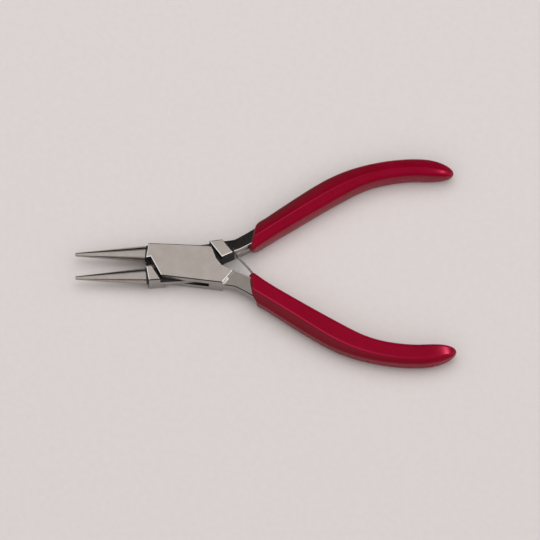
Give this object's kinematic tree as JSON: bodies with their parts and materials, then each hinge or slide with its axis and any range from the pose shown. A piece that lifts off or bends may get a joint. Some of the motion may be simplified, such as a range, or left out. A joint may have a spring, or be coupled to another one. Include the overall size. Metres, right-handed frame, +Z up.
{
  "type": "round nose pliers",
  "caption": "Box-joint round nose pliers with two tapered round jaws, a leaf return spring and soft dipped grips on curved handles.",
  "frame": {"origin": "on the pivot axis, at the ground underside of the box joint", "axes": "+X from the joint towards the handle ends, +Y from the spring-free handle towards the handle with the spring's foot, +Z up along the pivot axis, through the thickness of the tool"},
  "size_m": [0.127, 0.076, 0.0076],
  "materials": {
    "outer_half": "satin ground",
    "inner_half": "satin ground",
    "pivot_pin": "ground flush",
    "spring_foot": "spring temper, satin",
    "spring_blade": "spring temper, satin",
    "spring_rivet": "satin",
    "upper_grip": "glossy dipped",
    "lower_grip": "glossy dipped"
  },
  "bodies": {
    "outer_half": {"outer_half": "outer_half", "pivot_pin": "pivot_pin", "lower_grip": "lower_grip"},
    "inner_half": {"inner_half": "inner_half", "upper_grip": "upper_grip", "spring_foot": "spring_foot", "spring_rivet": "spring_rivet"},
    "spring_blade": {"spring_blade": "spring_blade"}
  },
  "joints": [
    {"name": "jaw_hinge", "type": "hinge", "parent": "outer_half", "child": "inner_half", "pos_m": [0, 0, 0], "axis": [0, 0, 1], "range_deg": [-11.3, 10], "stiffness_Nm_per_rad": 1.2},
    {"name": "blade_swing", "type": "hinge", "parent": "inner_half", "child": "spring_blade", "pos_m": [0.0171, 0.00334, 0], "axis": [0, 0, 1], "range_deg": [-36, 40]}
  ],
  "couplings": [
    {"joint": "blade_swing", "follows": "jaw_hinge", "ratio": -3.5}
  ]
}
